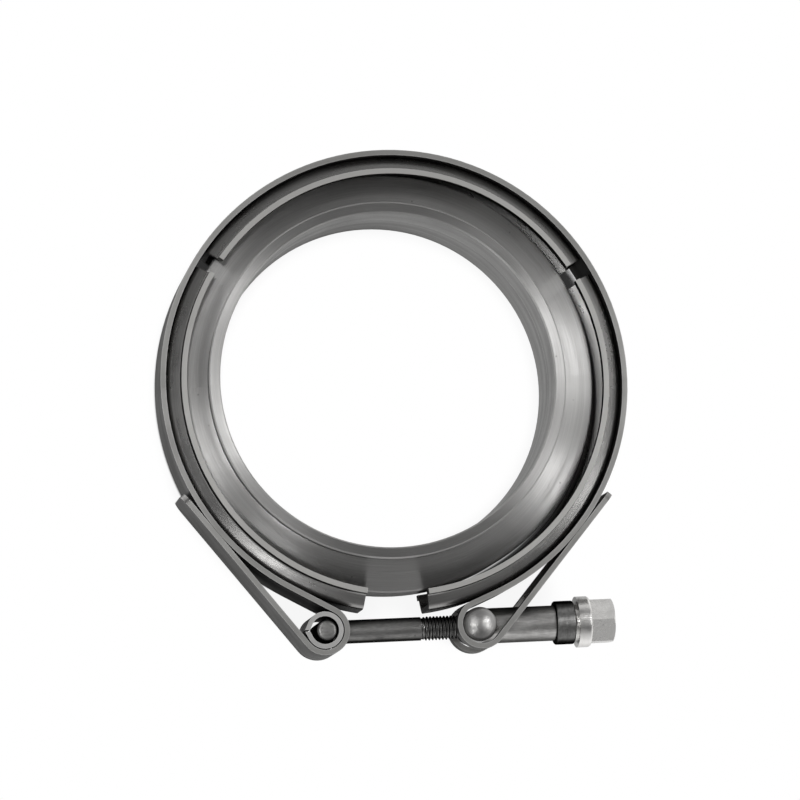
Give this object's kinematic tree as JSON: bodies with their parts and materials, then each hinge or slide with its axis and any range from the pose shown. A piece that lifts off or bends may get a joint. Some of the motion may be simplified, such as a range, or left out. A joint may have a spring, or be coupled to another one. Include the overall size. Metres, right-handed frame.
{
  "type": "v band clamp",
  "caption": "V-band clamp closed round mating weld flanges, drawn up by a T-bolt with a sleeve, a collar and a flanged hexagon nut.",
  "frame": {"origin": "on the flanges' common axis, at their mating faces", "axes": "+Z along the bore axis out of the front flange; the T-bolt lies along +X, nut end first, on the -Y side of the ring"},
  "size_m": [0.1244, 0.1338, 0.024],
  "materials": {
    "flange_steel": "satin turned",
    "segment_steel": "satin pressed",
    "strap_steel": "satin rolled strip",
    "trunnion_steel": "satin",
    "bolt_steel": "satin",
    "sleeve_steel": "drawn tube",
    "collar_steel": "satin",
    "nut_steel": "bright zinc"
  },
  "bodies": {
    "clamp": {"front_flange": "flange_steel", "back_flange": "flange_steel", "top_v_segment": "segment_steel", "left_v_segment": "segment_steel", "right_v_segment": "segment_steel", "outer_band": "strap_steel", "rolled_trunnion": "trunnion_steel", "barrel_trunnion": "trunnion_steel", "t_bolt": "bolt_steel", "spacer_sleeve": "sleeve_steel"},
    "collar": {"thrust_collar": "collar_steel"},
    "nut": {"flange_nut": "nut_steel"}
  },
  "joints": [
    {"name": "nut_travel", "type": "slide", "parent": "clamp", "child": "collar", "axis": [1, 0, 0], "range_m": [0, 0.0073]},
    {"name": "nut_turn", "type": "hinge", "parent": "collar", "child": "nut", "pos_m": [0.0528, -0.06509, 0], "axis": [1, 0, 0], "range_deg": [0, 2880]}
  ],
  "couplings": [
    {"joint": "nut_travel", "follows": "nut_turn", "m_per_rad": 0.00014435}
  ]
}
